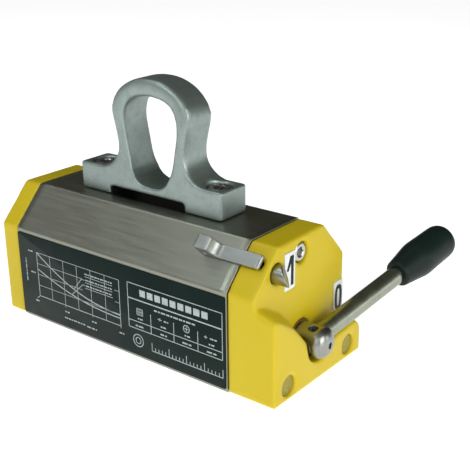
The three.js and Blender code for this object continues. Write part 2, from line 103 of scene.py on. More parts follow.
def stand_for(o, *nodes, slot=None):
    """o rides on the node's body and replaces the nodes."""
    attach(o, BODY[nodes[0]])
    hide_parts(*nodes)
    return o


def basis(direction):
    z = Vector(direction).normalized()
    a = Vector((0, 0, 1)) if abs(z.z) < 0.9 else Vector((1, 0, 0))
    x = a.cross(z).normalized()
    y = z.cross(x)
    return x, y, z


def lathe(name, profile, origin, direction, seg=96, sharp=35, radius_fn=None):
    """profile [(along, radius), ...] in mm, turned about direction; ends on the axis are closed."""
    x, y, z = basis(direction)
    o = Vector(origin)
    verts, faces, rings = [], [], []
    for k, (s, r) in enumerate(profile):
        if r <= 1e-9:
            rings.append([len(verts)])
            verts.append((o + z * s) * MM)
        else:
            ring = []
            for i in range(seg):
                a = 2 * math.pi * i / seg
                rr = radius_fn(k, a, r) if radius_fn else r
                ring.append(len(verts))
                verts.append((o + z * s + x * (rr * math.cos(a)) + y * (rr * math.sin(a))) * MM)
            rings.append(ring)
    for a, b in zip(rings[:-1], rings[1:]):
        if len(a) == 1 and len(b) == 1:
            continue
        for i in range(seg):
            j = (i + 1) % seg
            if len(a) == 1:
                faces.append((a[0], b[j], b[i]))
            elif len(b) == 1:
                faces.append((a[i], a[j], b[0]))
            else:
                faces.append((a[i], a[j], b[j], b[i]))
    return mesh_obj(name, verts, faces, sharp)


def fillet(points, radii, n=6):
    """closed 2-D outline with each corner rounded by its own radius."""
    out = []
    m = len(points)
    for i in range(m):
        p0, p, p1 = (np.array(points[(i + k) % m], float) for k in (-1, 0, 1))
        r = radii[i]
        if r <= 0:
            out.append(tuple(p))
            continue
        a, b = p0 - p, p1 - p
        la, lb = np.linalg.norm(a), np.linalg.norm(b)
        a, b = a / la, b / lb
        ang = math.acos(max(-1, min(1, float(a @ b))))
        t = min(r / math.tan(ang / 2), la * 0.49, lb * 0.49)
        rr = t * math.tan(ang / 2)
        c = p + (a + b) / np.linalg.norm(a + b) * (rr / math.sin(ang / 2))
        s, e = p + a * t, p + b * t
        a0 = math.atan2(*(s - c)[::-1])
        a1 = math.atan2(*(e - c)[::-1])
        d = (a1 - a0 + math.pi) % (2 * math.pi) - math.pi
        for k in range(n + 1):
            q = a0 + d * k / n
            out.append((c[0] + rr * math.cos(q), c[1] + rr * math.sin(q)))
    return out


def adjacency(me):
    e = np.empty(len(me.edges) * 2, np.int64)
    me.edges.foreach_get("vertices", e)
    return e.reshape(-1, 2)


def relax(co, edges, weight, steps, lam=0.5):
    n = len(co)
    deg = np.bincount(edges.ravel(), minlength=n).astype(float)
    deg[deg == 0] = 1
    w = (weight * lam)[:, None]
    for _ in range(steps):
        acc = np.empty_like(co)
        for k in range(3):
            acc[:, k] = (np.bincount(edges[:, 0], co[edges[:, 1], k], n)
                         + np.bincount(edges[:, 1], co[edges[:, 0], k], n))
        co = co + w * (acc / deg[:, None] - co)
    return co


def soften(name, node, voxel, steps, weight_fn=None, keep=None, post=None):
    """a finer piece over a CAD node: same shape, with its edges rounded by relaxing a dense mesh."""
    src = NODES[node].data.copy()
    tmp = bpy.data.objects.new("tmp_" + name, src)
    scene.collection.objects.link(tmp)
    w = tmp.modifiers.new("weld", "WELD")
    w.merge_threshold = 1e-6
    m = tmp.modifiers.new("remesh", "REMESH")
    m.mode = "VOXEL"
    m.voxel_size = voxel * MM * 1
    m.adaptivity = 0
    dg = bpy.context.evaluated_depsgraph_get()
    me = bpy.data.meshes.new_from_object(tmp.evaluated_get(dg))
    bpy.data.objects.remove(tmp)
    me.name = name
    me.materials.clear()
    co = np.empty(len(me.vertices) * 3)
    me.vertices.foreach_get("co", co)
    co = co.reshape(-1, 3)
    edges = adjacency(me)
    steps = max(1, int(steps / (1)))
    weight = np.ones(len(co)) if weight_fn is None else np.clip(weight_fn(co * 1000), 0, 1)
    # a light pass everywhere takes out the voxel steps
    co = relax(co, edges, np.ones(len(co)), 2)
    co = relax(co, edges, weight, steps)
    if post is not None:
        co = post(co * 1000) * MM
    me.vertices.foreach_set("co", co.ravel())
    me.polygons.foreach_set("use_smooth", [True] * len(me.polygons))
    me.update()
    o = bpy.data.objects.new(name, me)
    scene.collection.objects.link(o)
    return o


def smoothstep(a, b, x):
    t = np.clip((x - a) / (b - a), 0, 1)
    return t * t * (3 - 2 * t)


# ------------------------------------------------------------------ materials
class M:
    """a procedural material: colour, roughness and bump each driven by object-space noise."""

    def __init__(self, name, metallic, rough, base):
        self.mat = bpy.data.materials.new(name)
        self.mat.use_nodes = True
        self.t = self.mat.node_tree
        self.b = self.t.nodes["Principled BSDF"]
        self.b.inputs["Metallic"].default_value = metallic
        self.b.inputs["Roughness"].default_value = rough
        self.b.inputs["Base Color"].default_value = (*base, 1)
        self.coord = self.t.nodes.new("ShaderNodeTexCoord").outputs["Object"]
        self.height = None

    def node(self, kind, **kw):
        n = self.t.nodes.new(kind)
        for k, v in kw.items():
            setattr(n, k, v)
        return n

    def link(self, a, b):
        self.t.links.new(a, b)

    def noise(self, scale, detail=3, stretch=(1, 1, 1), rough=0.5, rotate=(0, 0, 0), distort=0.0):
        mp = self.node("ShaderNodeMapping")
        mp.inputs["Scale"].default_value = stretch
        mp.inputs["Rotation"].default_value = rotate
        self.link(self.coord, mp.inputs["Vector"])
        n = self.node("ShaderNodeTexNoise")
        n.inputs["Scale"].default_value = scale
        n.inputs["Detail"].default_value = detail
        n.inputs["Roughness"].default_value = rough
        n.inputs["Distortion"].default_value = distort
        self.link(mp.outputs["Vector"], n.inputs["Vector"])
        return n.outputs["Fac"]

    def voronoi(self, scale, stretch=(1, 1, 1)):
        mp = self.node("ShaderNodeMapping")
        mp.inputs["Scale"].default_value = stretch
        self.link(self.coord, mp.inputs["Vector"])
        n = self.node("ShaderNodeTexVoronoi")
        n.inputs["Scale"].default_value = scale
        self.link(mp.outputs["Vector"], n.inputs["Vector"])
        return n.outputs["Distance"]

    def ramp(self, fac, stops):
        r = self.node("ShaderNodeValToRGB")
        el = r.color_ramp.elements
        while len(el) < len(stops):
            el.new(0.5)
        for e, (p, c) in zip(el, stops):
            e.position = p
            e.color = (*c, 1) if len(c) == 3 else c
        self.link(fac, r.inputs["Fac"])
        return r.outputs["Color"]

    def range(self, fac, lo, hi, a=0.3, b=0.7):
        r = self.node("ShaderNodeMapRange")
        r.inputs["From Min"].default_value = a
        r.inputs["From Max"].default_value = b
        r.inputs["To Min"].default_value = lo
        r.inputs["To Max"].default_value = hi
        self.link(fac, r.inputs["Value"])
        return r.outputs["Result"]

    def mix(self, fac, a, b):
        m = self.node("ShaderNodeMix", data_type="RGBA")
        if hasattr(fac, "links"):
            self.link(fac, m.inputs["Factor"])
        else:
            m.inputs["Factor"].default_value = fac
        for sock, v in (("A", a), ("B", b)):
            i = [s for s in m.inputs if s.name == sock and s.type == "RGBA"][0]
            if hasattr(v, "links"):
                self.link(v, i)
            else:
                i.default_value = (*v, 1)
        return [s for s in m.outputs if s.type == "RGBA"][0]

    def math(self, op, a, b):
        m = self.node("ShaderNodeMath", operation=op)
        for i, v in enumerate((a, b)):
            if hasattr(v, "links"):
                self.link(v, m.inputs[i])
            else:
                m.inputs[i].default_value = v
        return m.outputs["Value"]

    def inside(self, axis, lo, hi, soft):
        """1 inside lo..hi along an axis of the part, falling to 0 over soft (metres)"""
        sx = self.node("ShaderNodeSeparateXYZ")
        self.link(self.coord, sx.inputs["Vector"])
        o = sx.outputs[axis]
        up = self.range(o, 0.0, 1.0, lo - soft, lo)
        dn = self.range(o, 1.0, 0.0, hi, hi + soft)
        return self.math("MULTIPLY", up, dn)

    def color(self, sock):
        self.link(sock, self.b.inputs["Base Color"])
        return self

    def rough(self, sock):
        self.link(sock, self.b.inputs["Roughness"])
        return self

    def bump(self, sock, strength, distance=0.0005):
        n = self.node("ShaderNodeBump")
        n.inputs["Strength"].default_value = strength
        n.inputs["Distance"].default_value = distance
        self.link(sock, n.inputs["Height"])
        prev = self.height
        if prev is not None:
            self.link(prev, n.inputs["Normal"])
        self.height = n.outputs["Normal"]
        self.link(self.height, self.b.inputs["Normal"])
        return self


def tint(c, k):
    return tuple(min(1.0, v * k) for v in c)


def paint_yellow():
    m = M("yellow_paint", 0.0, 0.36, (0.62, 0.47, 0.03))
    big = m.noise(14, 4)
    fine = m.noise(260, 3)
    c = m.ramp(big, [(0.3, (0.600, 0.450, 0.006)), (0.7, (0.650, 0.495, 0.010))])
    c2 = m.mix(m.range(fine, 0.0, 0.10), c, (0.70, 0.55, 0.03))
    # painted highlight: convex edges, found by pointiness, are painted a lighter yellow
    geo = m.node("ShaderNodeNewGeometry")
    edge = m.range(geo.outputs["Pointiness"], 0.0, 1.0, 0.515, 0.57)
    c3 = m.mix(m.math("MULTIPLY", edge, 0.35), c2, (0.78, 0.63, 0.10))
    m.color(c3)
    m.rough(m.range(m.noise(40, 5), 0.30, 0.44))
    m.bump(m.noise(900, 2), 0.10, 0.00012)
    m.bump(m.noise(150, 2), 0.06, 0.0004)
    m.b.inputs["Specular IOR Level"].default_value = 0.24
    m.b.inputs["Coat Weight"].default_value = 0.06
    m.b.inputs["Coat Roughness"].default_value = 0.25
    return m.mat


def cover_steel():
    m = M("cover_sheet", 1.0, 0.4, (0.42, 0.42, 0.38))
    brush = m.noise(420, 4, (0.06, 1, 1), 0.6)
    big = m.noise(11, 5, (1, 1, 1), 0.6, distort=0.6)
    smear = m.noise(26, 6, (0.5, 1, 1), 0.7, distort=1.2)
    c = m.ramp(big, [(0.25, (0.245, 0.246, 0.203)), (0.75, (0.315, 0.316, 0.264))])
    c2 = m.mix(m.range(brush, 0.0, 0.26), c, (0.43, 0.43, 0.37))
    c3 = m.mix(m.range(smear, 0.0, 0.22, 0.45, 0.75), c2, (0.20, 0.195, 0.155))
    # painted shade: in a box under the shackle's base the cover is darkened nearly to black, standing in for the shadow
    # there
    under = m.math("MULTIPLY", m.inside(0, -0.0345, 0.0305, 0.0012), m.inside(1, -0.0125, 0.0125, 0.0016))
    under = m.math("MULTIPLY", under, m.inside(2, 0.0945, 0.2, 0.0005))
    m.color(m.mix(m.math("MULTIPLY", under, 0.90), c3, (0.010, 0.012, 0.011)))
    m.rough(m.range(m.math("ADD", m.math("MULTIPLY", brush, 0.6), m.math("MULTIPLY", smear, 0.4)), 0.31, 0.46))
    m.bump(brush, 0.10, 0.0001)
    m.bump(m.noise(18, 2), 0.10, 0.0012)
    return m.mat


def plate_black():
    m = M("rating_plate", 0.0, 0.34, (0.010, 0.017, 0.016))
    m.b.inputs["Specular IOR Level"].default_value = 0.09
    big = m.noise(30, 5)
    c = m.ramp(big, [(0.3, (0.0025, 0.0105, 0.0085)), (0.7, (0.0045, 0.0155, 0.0128))])
    dust = m.noise(600, 3)
    m.color(m.mix(m.range(dust, 0.0, 0.06, 0.55, 0.8), c, (0.042, 0.072, 0.064)))
    m.rough(m.range(m.noise(55, 4), 0.30, 0.46))
    m.bump(m.noise(1200, 2), 0.05, 0.00005)
    return m.mat


def plate_print():
    m = M("plate_print", 0.0, 0.5, (0.5, 0.55, 0.55))
    m.b.inputs["Specular IOR Level"].default_value = 0.2
    n = m.noise(900, 4, rough=0.7)
    m.color(m.ramp(n, [(0.25, (0.26, 0.31, 0.31)), (0.6, (0.50, 0.56, 0.56))]))
    m.rough(m.range(m.noise(300, 2), 0.42, 0.6))
    return m.mat


def white_plate():
    m = M("white_plate", 0.0, 0.4, (0.80, 0.84, 0.83))
    n = m.noise(160, 5, rough=0.65)
    m.color(m.ramp(n, [(0.2, (0.70, 0.755, 0.745)), (0.6, (0.83, 0.865, 0.86))]))
    m.rough(m.range(m.noise(90, 3), 0.30, 0.46))
    m.bump(m.noise(1500, 2), 0.04, 0.00005)
    return m.mat


def digit_black():
    m = M("digit_black", 0.0, 0.4, (0.01, 0.015, 0.017))
    m.b.inputs["Specular IOR Level"].default_value = 0.15
    n = m.noise(400, 4)
    m.color(m.ramp(n, [(0.3, (0.004, 0.008, 0.011)), (0.7, (0.010, 0.018, 0.022))]))
    m.rough(m.range(n, 0.34, 0.5))
    return m.mat


def cast_steel():
    """shot-blasted, zinc-grey casting"""
    m = M("shackle_steel", 0.82, 0.5, (0.42, 0.47, 0.47))
    big = m.noise(22, 6, rough=0.6)
    grit = m.noise(1300, 3, rough=0.6)
    mid = m.noise(190, 5, rough=0.65)
    c = m.ramp(big, [(0.28, (0.222, 0.272, 0.255)), (0.72, (0.335, 0.398, 0.376))])
    c2 = m.mix(m.range(grit, 0.0, 0.34, 0.35, 0.75), c, (0.48, 0.54, 0.53))
    c3 = m.mix(m.range(mid, 0.0, 0.30, 0.5, 0.8), c2, (0.12, 0.13, 0.12))
    # painted shade: the slot under the shackle's base is darkened nearly to black, standing in for the shade inside it
    slot = m.math("MULTIPLY", m.inside(0, -0.0358, 0.0318, 0.0006), m.inside(1, -0.0130, 0.0130, 0.0006))
    slot = m.math("MULTIPLY", slot, m.inside(2, 0.0, 0.10145, 0.0004))
    m.color(m.mix(m.math("MULTIPLY", slot, 0.92), c3, (0.012, 0.014, 0.013)))
    m.rough(m.range(m.math("ADD", m.math("MULTIPLY", grit, 0.5), m.math("MULTIPLY", mid, 0.5)), 0.33, 0.52))
    m.bump(grit, 0.24, 0.0002)
    m.bump(mid, 0.16, 0.0006)
    m.bump(m.noise(45, 3), 0.10, 0.0018)
    return m.mat


def turned(name, base, rough=(0.22, 0.36), axis=0, pitch=900, strength=0.06):
    """turned steel: rings about the axis, drawn as noise stretched round it"""
    m = M(name, 1.0, 0.3, base)
    st = [0.03, 0.03, 0.03]
    st[axis] = 1
    rings = m.noise(pitch, 3, tuple(st), 0.6)
    big = m.noise(28, 5, rough=0.6)
    c = m.ramp(big, [(0.25, tint(base, 0.80)), (0.75, tint(base, 1.15))])
    m.color(m.mix(m.range(rings, 0.0, 0.35), c, tint(base, 1.5)))
    m.rough(m.range(m.math("ADD", m.math("MULTIPLY", rings, 0.6), m.math("MULTIPLY", m.noise(120, 4), 0.4)), *rough))
    m.bump(rings, strength, 0.00006)
    m.bump(m.noise(300, 2), 0.03, 0.0002)
    return m.mat


def plain_steel(name, base, rough=(0.3, 0.5), grain=(1, 1, 1), scale=500, metallic=1.0, strength=0.08):
    m = M(name, metallic, 0.4, base)
    g = m.noise(scale, 4, grain, 0.6)
    big = m.noise(35, 5)
    c = m.ramp(big, [(0.25, tint(base, 0.82)), (0.75, tint(base, 1.14))])
    m.color(m.mix(m.range(g, 0.0, 0.3), c, tint(base, 1.5)))
    m.rough(m.range(g, *rough))
    m.bump(g, strength, 0.0001)
    return m.mat


def dark_plastic():
    m = M("grip_plastic", 0.0, 0.3, (0.012, 0.018, 0.018))
    m.b.inputs["Specular IOR Level"].default_value = 0.22
    big = m.noise(40, 4)
    c = m.ramp(big, [(0.3, (0.0045, 0.0115, 0.0095)), (0.7, (0.0075, 0.0180, 0.0150))])
    fine = m.noise(1100, 3)
    m.color(m.mix(m.range(fine, 0.0, 0.12, 0.5, 0.8), c, (0.042, 0.068, 0.062)))
    m.rough(m.range(m.noise(75, 4), 0.36, 0.48))
    m.bump(fine, 0.12, 0.0001)
    m.bump(m.noise(60, 2), 0.05, 0.0008)
    return m.mat


def magnet_dark():
    m = M("magnet", 0.55, 0.5, (0.09, 0.095, 0.10))
    g = m.noise(700, 4)
    m.color(m.ramp(g, [(0.3, (0.06, 0.065, 0.07)), (0.7, (0.13, 0.135, 0.14))]))
    m.rough(m.range(m.noise(90, 4), 0.42, 0.6))
    m.bump(g, 0.12, 0.0001)
    return m.mat


def brass():
    m = M("brass", 1.0, 0.35, (0.66, 0.50, 0.24))
    g = m.noise(500, 3, (0.05, 1, 1), 0.6)
    big = m.noise(30, 4)
    c = m.ramp(big, [(0.3, (0.52, 0.385, 0.17)), (0.7, (0.70, 0.54, 0.28))])
    m.color(m.mix(m.range(g, 0.0, 0.25), c, (0.80, 0.66, 0.40)))
    m.rough(m.range(g, 0.28, 0.44))
    m.bump(g, 0.06, 0.0001)
    return m.mat


def plug_mat():
    # painted shade: the plug's yellow is darkened to an olive, standing in for the shade of the recess it sits in
    m = M("plug", 0.0, 0.5, (0.33, 0.27, 0.03))
    g = m.noise(420, 4)
    m.color(m.ramp(g, [(0.3, (0.255, 0.215, 0.018)), (0.7, (0.345, 0.290, 0.030))]))
    m.rough(m.range(m.noise(120, 3), 0.42, 0.58))
    m.bump(g, 0.12, 0.0002)
    return m.mat


ARM_LEAN, ARM_RISE = math.radians(9), math.radians(13.4)
ARM_DIR = Vector((math.sin(ARM_LEAN), math.cos(ARM_LEAN) * math.cos(ARM_RISE), math.cos(ARM_LEAN) * math.sin(ARM_RISE)))

MAT = {
    "pole_steel": plain_steel("pole_steel", (0.46, 0.47, 0.47), (0.32, 0.5), (0.06, 1, 1), 480),
    "brass": brass(),
    "magnet": magnet_dark(),
    "cover_sheet": cover_steel(),
    "rating_plate": plate_black(),
    "yellow_paint": paint_yellow(),
    "screw_steel": plain_steel("screw_steel", (0.52, 0.52, 0.50), (0.22, 0.36), (1, 1, 1), 800, 1.0, 0.05),
    "plug": plug_mat(),
    "turned_steel": turned("turned_steel", (0.315, 0.325, 0.305), (0.26, 0.40), 0, 900),
    "black_steel": plain_steel("black_steel", (0.15, 0.155, 0.155), (0.30, 0.46), (1, 1, 1), 700, 1.0, 0.06),
    "grip_plastic": dark_plastic(),
    "slide_steel": plain_steel("slide_steel", (0.33, 0.345, 0.33), (0.32, 0.48), (0.2, 1, 1), 620, 1.0, 0.06),
    "spring_steel": plain_steel("spring_steel", (0.35, 0.36, 0.36), (0.3, 0.4)),
    "white_plate": white_plate(),
    "shackle_steel": cast_steel(),
}
ARM_MAT = turned("arm_steel", (0.315, 0.325, 0.262), (0.28, 0.42), 1, 700, 0.05)
DIGIT = digit_black()
PRINT = plate_print()


def set_mat(o, mat):
    o.data.materials.clear()
    o.data.materials.append(mat)
    return o


for n, o in NODES.items():
    for i in range(len(o.material_slots)):
        o.material_slots[i].material = MAT[SLOT[n]]


# ------------------------------------------------------------------ housing cover
HL, HW, H, HC, TOP = 95.0, 50.0, 95.0, 68.5, 25.0


def section(t, r):
    """right-to-left body outline in (y, z), inset by t, with bend radius r"""
    k = (H - HC) / (HW - TOP)
    c = t * math.sqrt(1 + k * k)
    zs = HC + k * t - c
    yt = TOP - (c - t) / k
    pts = [(HW - t, 1.6), (HW - t, zs), (yt, H - t), (-yt, H - t), (-(HW - t), zs), (-(HW - t), 1.6)]
    loop = fillet(pts + [(0, -200)], [0, r, r, r, r, 0, 0], 7)
    return loop[:-1]


def build_cover():
    outer, inner = section(0, 3.2), section(1.5, 1.7)
    n = len(outer)
    xs = [-HL + 0.15, -HL + 0.35] + list(np.linspace(-HL + 6, HL - 6, 24)) + [HL - 0.35, HL - 0.15]
    verts, faces = [], []
    for i, x in enumerate(xs):
        e = 0.18 if i in (0, len(xs) - 1) else 0.0
        o = section(e, 3.2)
        for (y, z) in o:
            verts.append((x * MM, y * MM, z * MM))
    off = len(verts)
    for x in (xs[0], xs[-1]):
        for (y, z) in inner:
            verts.append((x * MM, y * MM, z * MM))
    for i in range(len(xs) - 1):
        for j in range(n - 1):
            a, b = i * n + j, i * n + j + 1
            faces.append((a, a + n, b + n, b))
    for j in range(n - 1):
        faces.append((off + j, off + j + 1, off + n + j + 1, off + n + j))
        faces.append((j, j + 1, off + j + 1, off + j))
        q = (len(xs) - 1) * n
        faces.append((q + j + 1, q + j, off + n + j, off + n + j + 1))
    # bottom edges
    for j in (0, n - 1):
        ring = [i * n + j for i in range(len(xs))]
        f = ring + [off + n + j, off + j]
        faces.append(tuple(f) if j else tuple(reversed(f)))
    o = mesh_obj("housing_cover_sheet", verts, faces, 50)
    set_mat(o, MAT["cover_sheet"])
    stand_for(o, "housing_cover")


build_cover()


# ------------------------------------------------------------------ rounded plates
def rounded_plate(name, plane, u0, u1, v0, v1, w0, w1, r, edge, mat, crown=0.0):
    """thin plate with rounded corners and a soft front edge. plane 'y-': front faces -Y, (u, v) = (x, z);
    'x+': front faces +X, (u, v) = (y, z). w0 is the back, w1 the front."""
    def out(inset):
        rr = max(r - inset, 0.01)
        return fillet([(u0 + inset, v0 + inset), (u1 - inset, v0 + inset), (u1 - inset, v1 - inset), (u0 + inset, v1 - inset)],
                      [rr] * 4, 6)
    s = 1 if w1 > w0 else -1
    layers = [(0, w0), (0, w1 - s * edge), (edge * 0.3, w1 - s * edge * 0.3), (edge, w1)]
    verts, faces = [], []
    n = None
    for inset, w in layers:
        ring = out(inset)
        n = len(ring)
        for (u, v) in ring:
            verts.append((u * MM, w * MM, v * MM) if plane == "y-" else (w * MM, u * MM, v * MM))
    for i in range(len(layers) - 1):
        for j in range(n):
            k = (j + 1) % n
            a, b, c, d = i * n + j, i * n + k, (i + 1) * n + k, (i + 1) * n + j
            faces.append((a, b, c, d))
    faces.append(tuple(reversed(range(n))))
    faces.append(tuple(range((len(layers) - 1) * n, len(layers) * n)))
    if plane == "y-":
        pass
    o = mesh_obj(name, verts, faces, 40)
    bm_fix(o)
    set_mat(o, mat)
    return o


def bm_fix(o):
    import bmesh
    bm = bmesh.new()
    bm.from_mesh(o.data)
    bmesh.ops.recalc_face_normals(bm, faces=bm.faces)
    bm.to_mesh(o.data)
    bm.free()
    o.data.polygons.foreach_set("use_smooth", [True] * len(o.data.polygons))
    o.data.set_sharp_from_angle(angle=math.radians(40))
    o.data.update()


lo, hi = (v * 1000 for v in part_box("rating_plate"))
plate = rounded_plate("rating_plate_sheet", "y-", lo.x, hi.x, lo.z, hi.z, hi.y, lo.y, 1.2, 0.2, MAT["rating_plate"])
stand_for(plate, "rating_plate")


def strips(name, quads, plane, w, h, mat, body):
    """raised print: each entry is a closed outline in the plate's plane, h thick"""
    verts, faces = [], []
    for q in quads:
        base = len(verts)
        n = len(q)
        for ww in (w, w + h):
            for (u, v) in q:
                verts.append((u * MM, ww * MM, v * MM) if plane == "y-" else (ww * MM, u * MM, v * MM))
        faces.append(tuple(range(base + n, base + 2 * n)))
        faces.append(tuple(reversed(range(base, base + n))))
        for i in range(n):
            j = (i + 1) % n
            faces.append((base + i, base + j, base + n + j, base + n + i))
    o = mesh_obj(name, verts, faces, 30)
    bm_fix(o)
    set_mat(o, mat)
    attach(o, body)
    return o


def line(a, b, t):
    a, b = np.array(a, float), np.array(b, float)
    d = b - a
    d /= np.linalg.norm(d)
    n = np.array([-d[1], d[0]]) * t / 2
    return [tuple(a - n), tuple(b - n), tuple(b + n), tuple(a + n)]


def rect(u0, u1, v0, v1):
    return [(u0, v0), (u1, v0), (u1, v1), (u0, v1)]


def polyline(pts, t):
    return [line(pts[i], pts[i + 1], t) for i in range(len(pts) - 1)]


def glyph_row(u, v, w, h, t, seed):
    """a row of flat dashes in three lengths, standing in for a line of small print"""
    q, x, k = [], u, seed
    while x < u + w - 0.6:
        run = min(h * (0.9, 0.55, 1.3)[k % 3], u + w - x)
        q.append(rect(x, x + run, v + h * 0.26, v + h * 0.26 + t * 2.1))
        x += run + h * 0.30
        k += 1
    return q


def smooth(pts, n=40):
    """a smooth run through the stations"""
    p = np.array(pts, float)
    t = np.linspace(0, 1, len(p))
    c = np.linspace(0, 1, n)
    cx = np.polyfit(t, p[:, 0], 3)
    cy = np.polyfit(t, p[:, 1], 3)
    return list(zip(np.polyval(cx, c), np.polyval(cy, c)))


def print_art():
    q = []
    T = 0.40
    # chart grid, 6 by 4
    x0, x1, z0, z1 = -75.4, 5.4, 20.4, 53.8
    for i in range(7):
        x = x0 + (x1 - x0) * i / 6
        q.append(line((x, z0 - (1.6 if i in (2, 4, 6) else 0)), (x, z1), T * (1.2 if i in (0, 6) else 0.8)))
    for j in range(5):
        z = z0 + (z1 - z0) * j / 4
        if j in (2, 3):
            q.append(line((x0, z), (-30, z), T * 0.8))
            q.append(line((1.0, z), (x1, z), T * 0.8))
        else:
            q.append(line((x0, z), (x1, z), T * (1.2 if j == 0 else 0.8)))
    q.append(line((x0, z0), (x0 - 3.2, z0 - 2.6), T))
    # two falling curves
    q += polyline(smooth([(-76.2, 54.0), (-60.8, 45.5), (-47.6, 38.6), (-36.6, 34.5), (-22.1, 30.9), (-9.1, 29.0), (5.6, 28.2)]), 0.72)
    q += polyline(smooth([(-75.4, 41.2), (-61.8, 36.6), (-48.2, 32.2), (-35.9, 29.2), (-22.5, 27.4), (-9.2, 26.6), (5.4, 25.8)]), 0.72)
    q += polyline([(-38.9, 35.0), (-30.6, 45.0), (-27.4, 45.0)], T)
    q += polyline([(-41.0, 30.8), (-29.4, 41.2), (-27.4, 41.2)], T)
    # three rows of made-up marks with rules under them
    q += glyph_row(-27, 48.6, 26, 2.6, 0.42, 0)
    q += glyph_row(-26.4, 44.2, 25, 2.5, 0.42, 3) + [line((-27, 43.4), (-1.0, 43.4), 0.36)]
    q += glyph_row(-26.4, 40.0, 25, 2.5, 0.42, 8) + [line((-27, 39.2), (-1.0, 39.2), 0.36)]
    q += [line((-27, 47.8), (-1.0, 47.8), 0.36)]
    for (u, v, k) in ((-49.6, 14.2, 1), (-22.6, 14.2, 4), (3.6, 13.9, 9)):
        q += glyph_row(u, v, 4.4, 2.7, 0.46, k)
    q += glyph_row(-50.4, 9.4, 20.5, 2.5, 0.42, 2) + glyph_row(-28.0, 8.8, 9.6, 3.0, 0.42, 5)
    for (u, v, k) in ((-84.2, 52.4, 1), (-82.8, 36.4, 3), (-80.4, 14.6, 5)):
        q += glyph_row(u, v, 4.6, 2.7, 0.46, k)
    # upright row beside the chart
    for r in glyph_row(0, 0, 17.5, 2.6, 0.42, 2):
        q.append([(-86.4 - b, 29.4 + a) for (a, b) in r])
    # table
    a0, a1, b0, b1 = 13.2, 92.2, 22.9, 54.8
    for (p, r, t) in (((a0, b0), (a1, b0), 0.5), ((a1, b0), (a1, b1), 0.5), ((a1, b1), (a0, b1), 0.5), ((a0, b1), (a0, b0), 0.5),
                      ((a0, 44.0), (a1, 44.0), 0.85), ((a0, 28.3), (a1, 28.3), 0.5)):
        q.append(line(p, r, t))
    for x in (33.0, 52.7, 72.6):
        q.append(line((x, b0), (x, 36.8), 0.5))
    # one even row of blocks across the header
    for k in range(9):
        q.append(rect(24.0 + 6.5 * k, 28.9 + 6.5 * k, 47.2, 51.9))
    q += glyph_row(36.2, 39.3, 35.5, 2.9, 0.50, 0)

    def frame_(u, v, w, h, t=0.45):
        return [rect(u, u + w, v, v + t), rect(u, u + w, v + h - t, v + h), rect(u, u + t, v, v + h), rect(u + w - t, u + w, v, v + h)]
    # pictograms: plate, gauge, round bar, gauge
    q += frame_(20.6, 33.2, 5.6, 5.0, 0.55) + [line((20.6 + 1.4 * i, 33.2), (20.6 + 1.4 * i, 38.2), 0.4) for i in (1, 2, 3)]
    q += [line((20.6, 35.7), (26.2, 35.7), 0.45)]
    q += [line((39.3, 35.4), (42.6, 35.4), 0.6), rect(40.6, 41.4, 34.4, 36.4)] + glyph_row(44.4, 34.2, 4.8, 2.2, 0.42, 3)
    c = [(63.4 + 2.5 * math.cos(i / 20 * 2 * math.pi), 35.6 + 2.5 * math.sin(i / 20 * 2 * math.pi)) for i in range(21)]
    q += polyline(c, 0.55) + [line((61.6, 35.6), (65.2, 35.6), 0.5), line((63.4, 33.8), (63.4, 37.4), 0.5)]
    q += [line((77.8, 34.9), (80.2, 34.9), 0.6), line((79.0, 33.9), (79.0, 36.0), 0.5)] + glyph_row(82.4, 33.8, 5.6, 2.2, 0.42, 5)
    for (u, k) in ((21.4, 1), (41.6, 4), (61.8, 7), (81.4, 10)):
        q += glyph_row(u, 29.6, 4.4, 2.3, 0.45, k)
    for (u, w, k) in ((19.2, 7.6, 1), (41.2, 5.4, 3), (59.8, 7.4, 8), (79.8, 7.6, 2)):
        q += glyph_row(u, 23.8, w, 3.2, 0.5, k)
    # a plain ruler and ring along the bottom
    q += [line((33.2, 10.6), (92.4, 10.6), 0.6)]
    q += [line((33.2 + 59.2 * i / 20, 10.6), (33.2 + 59.2 * i / 20, 16.4 if i % 5 == 0 else 13.4), 0.5) for i in range(21)]
    for rad in (4.4, 2.2):
        q += polyline([(21.0 + rad * math.cos(i / 32 * 2 * math.pi), 14.4 + rad * math.sin(i / 32 * 2 * math.pi)) for i in range(33)], 0.6)
    return q


strips("rating_plate_print", print_art(), "y-", lo.y, -0.06, PRINT, "housing")


# ------------------------------------------------------------------ end caps
def cap_weight(co):
    return np.ones(len(co))


cap_r = soften("lever_end_cap_casting", "lever_end_cap", 1.0, 7)
set_mat(cap_r, MAT["yellow_paint"])
stand_for(cap_r, "lever_end_cap")
cap_l = soften("plain_end_cap_casting", "plain_end_cap", 1.2, 5)
set_mat(cap_l, MAT["yellow_paint"])
stand_for(cap_l, "plain_end_cap")

# ------------------------------------------------------------------ shackle
def shackle_weight(co):
    z = co[:, 2]
    return 0.07 + 0.93 * smoothstep(113.5, 124, z)


sh = soften("shackle_casting", "shackle", 1.0, 34, shackle_weight)
set_mat(sh, MAT["shackle_steel"])
stand_for(sh, "shackle")


